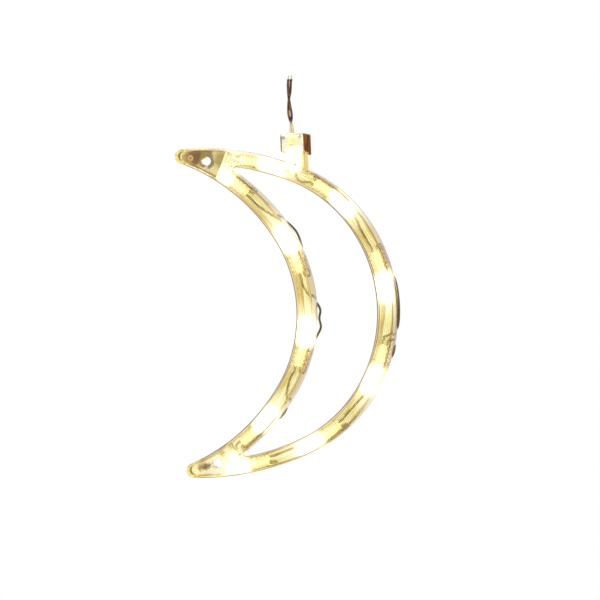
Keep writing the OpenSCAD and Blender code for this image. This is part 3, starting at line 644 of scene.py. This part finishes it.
# %% Clear sleeve
# Soft clear vinyl, slightly clouded, warm from the lamp that it holds.
def clear_sleeve():
    finish, tree, place = new_finish("clouded_clear_vinyl")
    tint = clouded(tree, place, 500.0, "FAF6E4", "FFFEF6", detail=3.0)
    shader = add_node(tree, "ShaderNodeBsdfPrincipled", {
        "Base Color": tint, "Roughness": 0.15, "IOR": 1.53, "Transmission Weight": 0.85,
        "Emission Color": linear("F0E8D0"), "Emission Strength": 0.2}).outputs[0]
    add_node(tree, "ShaderNodeOutputMaterial", {"Surface": shader})
    return finish


# %% Clear brown wire insulation
# Thin clear brown vinyl over copper: glossy, a little uneven in colour along its length.
BEHIND_SLEEVE = -SLEEVE_L / 2 - 1
WIRE_LIT_REACH, WIRE_BRIGHT_REACH = (1.5, 5), (6, 13)
WIRE_OUTSIDE = (CHANNEL_W / 2 - 0.4, CHANNEL_W / 2 + 0.1)


def wire_insulation():
    finish, tree, place = new_finish("clear_brown_vinyl_on_copper")
    brown = clouded(tree, place, 350.0, "94753A", "D6BE80", 0.4, 0.6)
    # Paler in painted light where a lamp shines on it, darker in painted shade where it runs outside behind
    # the moulding
    lit = near_any(tree, place, [lamp_place(lamp, BEHIND_SLEEVE)[0] for lamp in lamps], *WIRE_LIT_REACH)
    bright = near_any(tree, place, glow_places, *WIRE_BRIGHT_REACH)
    off = channel_places(tree, place).off
    outside = add_node(tree, "ShaderNodeMapRange", {
        "Value": off, "From Min": WIRE_OUTSIDE[0], "From Max": WIRE_OUTSIDE[1]}).outputs[0]
    brown = painted(tree, brown, (lit, "D8C488"), (bright, "EADC9C"), (outside, "3E3216"))
    shader = add_node(tree, "ShaderNodeBsdfPrincipled", {
        "Base Color": brown, "Roughness": 0.28, "IOR": 1.53, "Coat Weight": 0.4,
        "Coat Roughness": 0.1}).outputs[0]
    add_node(tree, "ShaderNodeOutputMaterial", {"Surface": shader})
    return finish


# %% Lead insulation
# The same vinyl outside the crescent: unlit and dull brown above, lit cream where it comes out of the cap.
LIT_FOOT = [at(0, 0, CAP_TOP + up).z for up in (3.5, 7.5)]


def lead_insulation():
    finish, tree, place = new_finish("brown_vinyl_lead")
    brown = clouded(tree, place, 420.0, "442808", "6E5034", 0.38, 0.62)
    height = add_node(tree, "ShaderNodeSeparateXYZ", {0: place}).outputs["Z"]
    lit = add_node(tree, "ShaderNodeMapRange", {
        "Value": height, "From Min": LIT_FOOT[0], "From Max": LIT_FOOT[1], "To Min": 1.0, "To Max": 0.0},
        interpolation_type="SMOOTHSTEP").outputs[0]
    colour = painted(tree, brown, (lit, "DBCEA4"))
    shader = add_node(tree, "ShaderNodeBsdfPrincipled", {
        "Base Color": colour, "Roughness": 0.4, "IOR": 1.3}).outputs[0]
    add_node(tree, "ShaderNodeOutputMaterial", {"Surface": shader})
    return finish


# %% Tinned copper strands
# Bare twisted strands with a dull tin coat.
def tinned_strands():
    finish, tree, place = new_finish("tinned_copper_strands")
    dull = add_node(tree, "ShaderNodeTexNoise", {"Vector": place, "Scale": 2500.0}).outputs["Fac"]
    rough = add_node(tree, "ShaderNodeMapRange", {"Value": dull, "To Min": 0.35, "To Max": 0.6}).outputs[0]
    colour = painted(tree, linear("B4A898"), (dull, "E2DAD0"))
    shader = add_node(tree, "ShaderNodeBsdfPrincipled", {
        "Base Color": colour, "Metallic": 0.8, "Roughness": rough}).outputs[0]
    add_node(tree, "ShaderNodeOutputMaterial", {"Surface": shader})
    return finish


# %% Brown moulded cover
# The cap's rear cover is moulded in see-through brown and looks nearly black-brown where it is thick.
def brown_cover():
    finish, tree, place = new_finish("see_through_brown_polystyrene")
    # Upright streaks about 1 mm apart, where the tails inside show through
    stretched = add_node(tree, "ShaderNodeMapping", {
        "Vector": place, "Scale": (900.0, 900.0, 90.0)}).outputs[0]
    brown = clouded(tree, stretched, 1.0, "4A2802", "A86A24", 0.4, 0.65)
    shader = add_node(tree, "ShaderNodeBsdfPrincipled", {
        "Base Color": brown, "Roughness": 0.4, "IOR": 1.15, "Specular IOR Level": 0.2}).outputs[0]
    add_node(tree, "ShaderNodeOutputMaterial", {"Surface": shader})
    return finish


# %% Sealing plug
# Hot-melt glue of a pale amber, which holds the lead and the tails in the cap.
def glue_plug():
    finish, tree, place = new_finish("pale_amber_hot_melt_glue")
    colour = clouded(tree, place, 600.0, "E6CF7C", "F4E6A8")
    shader = add_node(tree, "ShaderNodeBsdfPrincipled", {
        "Base Color": colour, "Roughness": 0.4, "Subsurface Weight": 0.3,
        "Subsurface Radius": (0.002, 0.0015, 0.0008)}).outputs[0]
    add_node(tree, "ShaderNodeOutputMaterial", {"Surface": shader})
    return finish


finishes = {"moulding": clear_moulding(), "lamp": lit_lamp(), "sleeve": clear_sleeve(),
            "wire": wire_insulation(), "lead_core": lead_insulation(), "bare_wire": tinned_strands(),
            "cap_cover": brown_cover(), "collar": glue_plug()}
print("finishes:", [finish.name for finish in finishes.values()])

# %% [markdown]
# ## The crescent moulding
# The moulding's walls, ribs, horns, neck and cap are those of the construction, so it starts as a merged
# copy. A real moulding has no sharp edges, so each one is rounded. The rounded faces are marked, and so are
# the floors of the two horns, the ribs and the sides of the neck and the cap, because each gets painted
# shade and light of its own.

# %% Crescent moulding
EDGE_ROUND = 0.22

moulding = merged_copy("crescent_shell", "crescent_moulding")
moulding.data.materials.append(finishes["moulding"])
moulding.data.materials.append(finishes["moulding"])
add_modifier(moulding, "BEVEL", width=EDGE_ROUND * MM, segments=2, limit_method="ANGLE",
             angle_limit=EDGE_TURN, use_clamp_overlap=True, material=1)

# %% Marks on the moulding's faces
# Where ribs lie, from the middle of their sleeve
RIB_ALONG, RIB_ACROSS = 4.6, (2.45, 3.15)
# How far off a level a face may be, and how much of its normal has to point forwards or sideways
LEEWAY, ON_FLOOR = 0.1, 0.01
FACING, SIDEWAYS = 0.9, 0.7
# Where the sides of the cap and the neck lie, from the cap's middle
CAP_SIDE_FROM, CAP_LEFT_REACH = 4.5, 8.0


def on_rib(face):
    """Whether a face is on a rib that grips a sleeve: within reach of it, between it and the walls."""
    for lamp in lamps:
        place, aim = lamp_place(lamp)
        away = face.center - place
        across = abs(away.dot(Vector((aim.z, 0, -aim.x)))) / MM
        if abs(away.dot(aim)) / MM < RIB_ALONG and RIB_ACROSS[0] < across < RIB_ACROSS[1]:
            return face.center.y > (FRONT + SKIN - LEEWAY) * MM
    return False


def beside_cap(face, low, high):
    """Whether a face is on a side of the cap or of the neck, between two heights of the paths' frame."""
    x, _, z = face.center / MM - at(0, 0, 0) / MM
    beside = abs(x - CAP_X) > CAP_SIDE_FROM and x > CAP_X - CAP_LEFT_REACH
    return abs(face.normal.x) > SIDEWAYS and beside and low < z < high


def mark(name, test):
    """Adds an attribute that is 1 on the moulding's faces that pass a test, and prints how many they are."""
    layer = moulding.data.attributes.new(name, "FLOAT", "FACE")
    layer.data.foreach_set("value", [1.0 if test(face) else 0.0 for face in moulding.data.polygons])
    print(name, "faces:", sum(1 for item in layer.data if item.value))


mark("rim", lambda face: face.material_index == 1)
mark("pocket", lambda face: (abs(face.center.y - HORN_FLOOR_Y * MM) < ON_FLOOR * MM
                             and face.normal.y < -FACING))
mark("rib", on_rib)
mark("neck_side", lambda face: beside_cap(face, NECK_FOOT, CAP_FOOT))
mark("cap_side", lambda face: beside_cap(face, CAP_FOOT, CAP_TOP))
for face in moulding.data.polygons:
    face.material_index = 0
finish_piece(moulding, "moulding", "crescent_shell")

# %% [markdown]
# ## Fine flutes on the skin
# Fine lines run along the inside of the crescent's front skin, where the mould was milled in long passes.
# Each one is a low ridge: a small section is drawn and spun round the centre of the arc that it follows.

# %% Flutes
FLUTE_OFFS = [-2.7, -1.9, -1.05, 1.05, 1.9, 2.7]
FLUTE_W, FLUTE_H = 0.3, 0.16
FLUTE_Y = FRONT + SKIN
FLUTE_SIDES, FLUTE_STEPS, FLUTE_FAR_STEPS = 6, 48, 12
# The flutes end part of the way along the far arcs
FLUTE_FAR_SHARE = 0.55


def flute(centre, radius, start, turn, steps):
    """Adds one ridge to the mesh being edited: a small section spun about the Y axis through a centre."""
    side = Vector((math.cos(start), 0, math.sin(start)))
    middle = at(centre[0], FLUTE_Y, centre[1]) + side * radius * MM
    bpy.ops.mesh.select_all(action="DESELECT")
    bpy.ops.mesh.primitive_circle_add(vertices=FLUTE_SIDES, radius=MM / 2, fill_type="NGON", location=middle)
    bpy.ops.transform.resize(value=(FLUTE_W, 2 * FLUTE_H, 0), orient_type="GLOBAL", center_override=middle)
    bpy.ops.transform.rotate(value=start, orient_axis="Y", center_override=middle)
    bpy.ops.mesh.spin(steps=steps, angle=turn, center=at(centre[0], FLUTE_Y, centre[1]), axis=(0, 1, 0))


def empty_piece(name):
    """A new mesh object with nothing in it, in edit mode."""
    piece = bpy.data.objects.new(name, bpy.data.meshes.new(name))
    bpy.context.scene.collection.objects.link(piece)
    only(piece)
    bpy.ops.object.mode_set(mode="EDIT")
    return piece


def close_up():
    """Merges what touches, turns the faces outwards and leaves edit mode."""
    bpy.ops.mesh.select_all(action="SELECT")
    bpy.ops.mesh.remove_doubles(threshold=MERGE_GAP * MM)
    bpy.ops.mesh.normals_make_consistent(inside=False)
    bpy.ops.object.mode_set(mode="OBJECT")


flutes = empty_piece("skin_flutes")
for path in (OUTER, INNER):
    x, r, turn, far_r = path
    far_turn = (half_length(path) - r * turn) / far_r
    for off in FLUTE_OFFS:
        flute((x, 0), r + off, -turn, 2 * turn, FLUTE_STEPS)
        for hand in (1, -1):
            c = far_centre(path)
            flute((c[0], hand * c[1]), far_r + off, hand * turn, hand * far_turn * FLUTE_FAR_SHARE,
                  FLUTE_FAR_STEPS)
close_up()
finish_piece(flutes, "moulding")

# %% [markdown]
# ## The lamps and their sleeves
# The ten lamps are alike, and so are their sleeves, so each is modelled once, standing on its back end at
# the origin, and copied to its place. A turned shape is built as a lathe hand would: a disc is drawn out
# step by step.

# %% Drawing out a turned shape
def turned(name, profile, sides=32):
    """A round piece along Z from rows of (height, radius), closed at both ends, in millimetres."""
    piece = empty_piece(name)
    height, radius = profile[0]
    bpy.ops.mesh.primitive_circle_add(vertices=sides, radius=radius * MM, fill_type="NGON",
                                      location=(0, 0, height * MM))
    for next_height, next_radius in profile[1:]:
        step = (0, 0, (next_height - height) * MM)
        bpy.ops.mesh.extrude_region_move(TRANSFORM_OT_translate={"value": step})
        share = next_radius / radius
        bpy.ops.transform.resize(value=(share, share, 1), center_override=(0, 0, next_height * MM))
        height, radius = next_height, next_radius
    close_up()
    return piece


def place_copies(pattern, ahead, name, slot, node):
    """A finished copy of a pattern at each lamp, whose mesh holds its place; the pattern is removed."""
    for number, lamp in enumerate(lamps, 1):
        place, aim = lamp_place(lamp, ahead)
        mesh = pattern.data.copy()
        mesh.transform(Matrix.Translation(place) @ aim.to_track_quat("Z", "Y").to_matrix().to_4x4())
        piece = bpy.data.objects.new(f"{name}_{number:02d}", mesh)
        bpy.context.scene.collection.objects.link(piece)
        finish_piece(piece, slot, f"{node}_{number:02d}")
    bpy.data.objects.remove(pattern)


# %% Lamps
LED_R = LED_D / 2
LED_BODY_L = LED_SEAT + LED_REACH - LED_R
LED_FOOT, LED_GROOVE, DOME_TIP = 0.25, 0.12, 0.05
DOME_STEPS = 7
dome = [(LED_BODY_L + LED_R * math.sin(a), max(LED_R * math.cos(a), DOME_TIP))
        for a in [math.pi / 2 * k / DOME_STEPS for k in range(1, DOME_STEPS + 1)]]
# The foot's bevel, a shallow groove just above the sleeve, the body and the dome
lamp_profile = [(0, LED_R - LED_FOOT), (LED_FOOT, LED_R), (LED_SEAT + 0.2, LED_R),
                (LED_SEAT + 0.35, LED_R - LED_GROOVE), (LED_SEAT + 0.6, LED_R - LED_GROOVE),
                (LED_SEAT + 0.75, LED_R), (LED_BODY_L, LED_R), *dome]
place_copies(turned("lamp_pattern", lamp_profile), SLEEVE_L / 2 - LED_SEAT, "lamp_bulb", "lamp", "led")

# %% Sleeves
SLEEVE_R = SLEEVE_D / 2
SOCKET_R = LED_R + FIT
SLEEVE_GROOVE = 0.2
# The chamfered back, two grooves 4 mm apart, the mouth's bevel and the socket for the lamp
sleeve_profile = [(0, SLEEVE_R - SLEEVE_CHAMFER), (SLEEVE_CHAMFER, SLEEVE_R)]
for foot in (2.4, 6.4):
    sleeve_profile += [(foot, SLEEVE_R), (foot + 0.2, SLEEVE_R - SLEEVE_GROOVE),
                       (foot + 0.8, SLEEVE_R - SLEEVE_GROOVE), (foot + 1.0, SLEEVE_R)]
sleeve_profile += [(SLEEVE_L - 0.2, SLEEVE_R), (SLEEVE_L, SLEEVE_R - 0.15),
                   (SLEEVE_L, SOCKET_R), (SLEEVE_L - LED_SEAT, SOCKET_R)]
place_copies(turned("sleeve_pattern", sleeve_profile), -SLEEVE_L / 2, "lamp_sleeve_clear", "sleeve",
             "lamp_sleeve")

# %% [markdown]
# ## The wires
# The wires between the lamps follow the construction's routes. Each tube is copied, rounded by subdivision
# and swelled a little, because subdivision draws an eight-sided tube in to nine tenths of its radius.

# %% Wires
WIRE_SWELL = 0.058
for number in range(1, len(lamps) + 2):
    wire = merged_copy(f"loop_wire_{number:02d}", f"loop_wire_{number:02d}_insulated")
    add_modifier(wire, "SUBSURF", levels=2, render_levels=2)
    add_modifier(wire, "DISPLACE", strength=WIRE_SWELL * MM, mid_level=0.0)
    finish_piece(wire, "wire", f"loop_wire_{number:02d}", sharp=60)

# %% [markdown]
# ## The cap's cover, the sealing plug and the bare ends
# The cover is a merged copy with its inner edges rounded, and two thin sheets of painted shade are joined
# to it. The plug is turned with three collars that grip the cap. Each bare end is seven strands: one
# straight in the middle and six laid round it, drawn out in turning steps.

# %% Cap cover
COVER_ROUND = 0.15

cover = merged_copy("cap_cover", "cap_rear_cover")
add_modifier(cover, "BEVEL", width=COVER_ROUND * MM, segments=2, limit_method="ANGLE", angle_limit=EDGE_TURN,
             use_clamp_overlap=True)

# %% Sheets of painted shade on the cap's sides
# Two thin brown sheets reach forward over the clear half's sides as painted shade, which makes the whole
# side of the cap brown: a rounded plate is drawn out to its thickness.
SHADE_SHEET_Y, SHADE_SHEET_Z = (FRONT + 0.3, 0.02), (CAP_FOOT + 0.2, CAP_TOP - 0.4)
SHADE_SHEET_T, SHADE_SHEET_ROUND, SHADE_SHEET_GAP = 0.12, 0.9, 0.02


def cap_shade_sheet(name, hand):
    shade_sheet = empty_piece(name)
    middle = at(CAP_X + hand * (CAP_HALF_W + SHADE_SHEET_GAP), sum(SHADE_SHEET_Y) / 2, sum(SHADE_SHEET_Z) / 2)
    bpy.ops.mesh.primitive_plane_add(size=1.0, location=middle, rotation=(0, math.pi / 2, 0))
    bpy.ops.transform.resize(value=(1, (SHADE_SHEET_Y[1] - SHADE_SHEET_Y[0]) * MM, (SHADE_SHEET_Z[1] - SHADE_SHEET_Z[0]) * MM),
                             orient_type="GLOBAL", center_override=middle)
    bpy.ops.mesh.bevel(affect="VERTICES", offset=SHADE_SHEET_ROUND * MM, segments=4)
    bpy.ops.mesh.extrude_region_move(TRANSFORM_OT_translate={"value": (hand * SHADE_SHEET_T * MM, 0, 0)})
    close_up()
    return shade_sheet


shade_sheets = [cap_shade_sheet(f"cap_shade_sheet_{side}", hand) for side, hand in (("right", 1), ("left", -1))]
# The sheets of painted shade are joined to the cover and take its brown finish
only(cover)
for shade_sheet in shade_sheets:
    shade_sheet.select_set(True)
bpy.ops.object.join()
finish_piece(cover, "cap_cover", "cap_cover")

# %% Sealing plug
COLLAR_R, COLLAR_H = 2.7, 4.2
plug_profile = [(0, 2.3), (0.2, COLLAR_R), (0.8, COLLAR_R), (1.0, 2.25), (1.5, 2.2), (1.7, 2.45), (2.4, 2.45),
                (2.6, 2.2), (3.2, 2.25), (3.4, COLLAR_R), (4.0, COLLAR_R), (COLLAR_H, 2.4)]
plug = turned("sealing_plug", plug_profile)
plug.data.transform(Matrix.Translation(at(LEAD_X, 0, COLLAR_TOP - COLLAR_H)))
finish_piece(plug, "collar", "strain_collar")

# %% Bare ends
STRANDS_ROUND = 6
STRAND_R = 0.13
STRAND_TURN = math.radians(100)
STRAND_STEPS = 8
TIP_SPREAD = BARE_D / 2 - STRAND_R


def bare_end(name, foot):
    """Seven strands from a foot upwards: each starts as a small disc that is drawn up and turned by steps."""
    piece = empty_piece(name)
    for number in range(STRANDS_ROUND + 1):
        bpy.ops.mesh.select_all(action="DESELECT")
        start = 2 * math.pi * number / STRANDS_ROUND
        reach = TIP_SPREAD * MM if number < STRANDS_ROUND else 0
        bpy.ops.mesh.primitive_circle_add(vertices=8, radius=STRAND_R * MM, fill_type="NGON", location=(
            reach * math.cos(start), reach * math.sin(start), 0))
        for _ in range(STRAND_STEPS):
            step = (0, 0, BARE_L / STRAND_STEPS * MM)
            bpy.ops.mesh.extrude_region_move(TRANSFORM_OT_translate={"value": step})
            bpy.ops.transform.rotate(value=STRAND_TURN / STRAND_STEPS, orient_axis="Z",
                                     center_override=(0, 0, 0))
    close_up()
    piece.data.transform(Matrix.Translation(foot))
    return piece


for side, hand in (("a", 1), ("b", -1)):
    end = bare_end(f"bare_end_{side}", lead_point(lead_rows[-1], hand))
    finish_piece(end, "bare_wire", f"bare_tip_{side}")

# %% The two cores as cords
for side, (core, length, foot) in cores.items():
    finish_piece(core, "lead_core", f"lead_core_{side}")

# %% [markdown]
# ## Floor, light and background
# The ornament hangs high above a pale floor. The lights are soft and plain. What the camera sees behind it
# is white, and so is what it sees in its gloss and through it.

# %% Floor
FLOOR_DROP, FLOOR_HALF, FLOOR_SEEN = 0.75, 1.5, 0.8
floor = empty_piece("floor")
bpy.ops.mesh.primitive_plane_add(size=2 * FLOOR_HALF, location=(0, 0, -FLOOR_DROP))
bpy.ops.object.mode_set(mode="OBJECT")
pale, tree, _ = new_finish("pale_matt_floor")
matt = add_node(tree, "ShaderNodeBsdfPrincipled", {
    "Base Color": linear("F6F6F6"), "Roughness": 0.8}).outputs[0]
white = add_node(tree, "ShaderNodeEmission", {"Color": (1, 1, 1, 1), "Strength": 1.0}).outputs[0]
rays = add_node(tree, "ShaderNodeLightPath").outputs
seen = product(tree, rays["Is Camera Ray"], FLOOR_SEEN)
both = add_node(tree, "ShaderNodeMixShader", {0: seen, 1: matt, 2: white}).outputs[0]
add_node(tree, "ShaderNodeOutputMaterial", {"Surface": both})
floor.data.materials.append(pale)

# %% World
ROOM_LIGHT = 0.7
world = bpy.data.worlds.new("studio")
bpy.context.scene.world = world
world.use_nodes = True
tree = world.node_tree
tree.nodes.clear()
rays = add_node(tree, "ShaderNodeLightPath").outputs
seen = highest(tree, rays["Is Camera Ray"], rays["Is Glossy Ray"], rays["Is Transmission Ray"])
strength = add_node(tree, "ShaderNodeMapRange", {
    "Value": seen, "To Min": ROOM_LIGHT, "To Max": 1.0}).outputs[0]
sky = add_node(tree, "ShaderNodeBackground", {"Color": (1, 1, 1, 1), "Strength": strength}).outputs[0]
add_node(tree, "ShaderNodeOutputWorld", {"Surface": sky})

# %% Lamps of the studio
def softbox(name, place, size, power):
    light = bpy.data.lights.new(name, "AREA")
    light.size = size
    light.energy = power
    piece = bpy.data.objects.new(name, light)
    piece.location = place
    piece.rotation_mode = "QUATERNION"
    piece.rotation_quaternion = (Vector(place) - CAMERA_AIM).to_track_quat("Z", "Y")
    bpy.context.scene.collection.objects.link(piece)


softbox("key_softbox", (-0.5, -0.7, 0.45), size=0.5, power=5.0)
softbox("fill_softbox", (0.7, -0.5, 0.1), size=0.6, power=2.0)

# %% [markdown]
# ## The end
# Any part of the construction that is still shown is printed.

# %% Parts still shown
for name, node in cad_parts.items():
    if not node.hide_render:
        print("still shown:", name)
